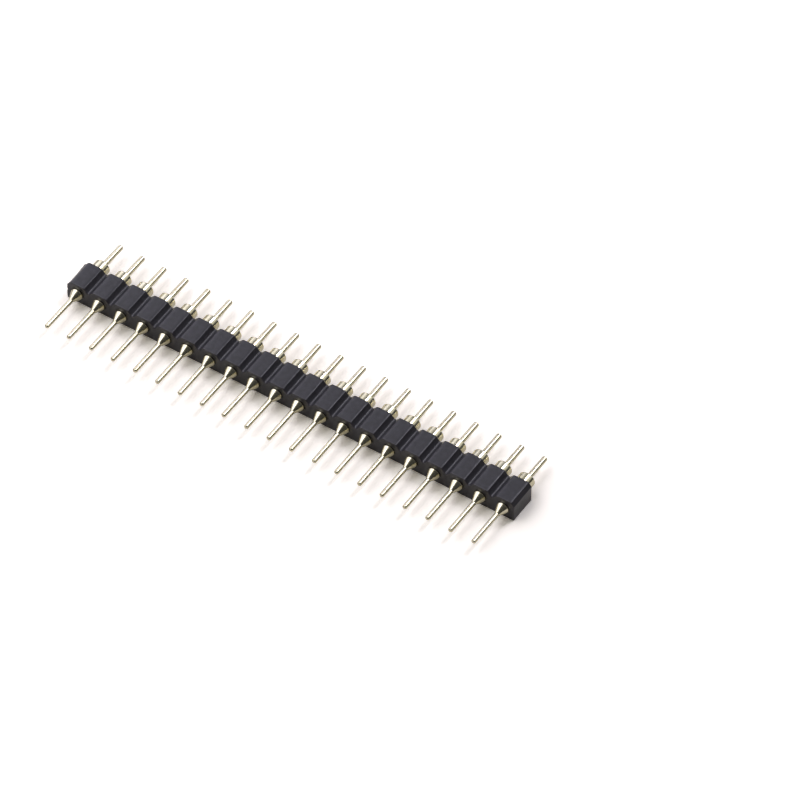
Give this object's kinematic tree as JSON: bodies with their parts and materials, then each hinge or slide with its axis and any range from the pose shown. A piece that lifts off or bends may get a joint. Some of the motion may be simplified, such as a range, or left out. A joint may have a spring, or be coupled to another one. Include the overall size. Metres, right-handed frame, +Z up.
{
  "type": "pin header strip",
  "caption": "Snap-off row of gold-plated turned pins, coned on one side and collared on the other, held in a black scalloped plastic insulator.",
  "frame": {"origin": "on the surface the strip lies on, under the middle of its overall box, pins included", "axes": "+X along the row from the snapped end to the clean end, +Y along the pins towards the collars and posts, +Z up from the surface, across the insulator's height"},
  "size_m": [0.0506, 0.0124, 0.0024],
  "materials": {
    "insulator": "black moulded thermoplastic, satin",
    "pin": "turned brass with pale gold plating, polished"
  },
  "bodies": {
    "root": {"insulator": "insulator", "pin_01": "pin", "pin_02": "pin", "pin_03": "pin", "pin_04": "pin", "pin_05": "pin", "pin_06": "pin", "pin_07": "pin", "pin_08": "pin", "pin_09": "pin", "pin_10": "pin", "pin_11": "pin", "pin_12": "pin", "pin_13": "pin", "pin_14": "pin", "pin_15": "pin", "pin_16": "pin", "pin_17": "pin", "pin_18": "pin", "pin_19": "pin", "pin_20": "pin"}
  },
  "joints": []
}
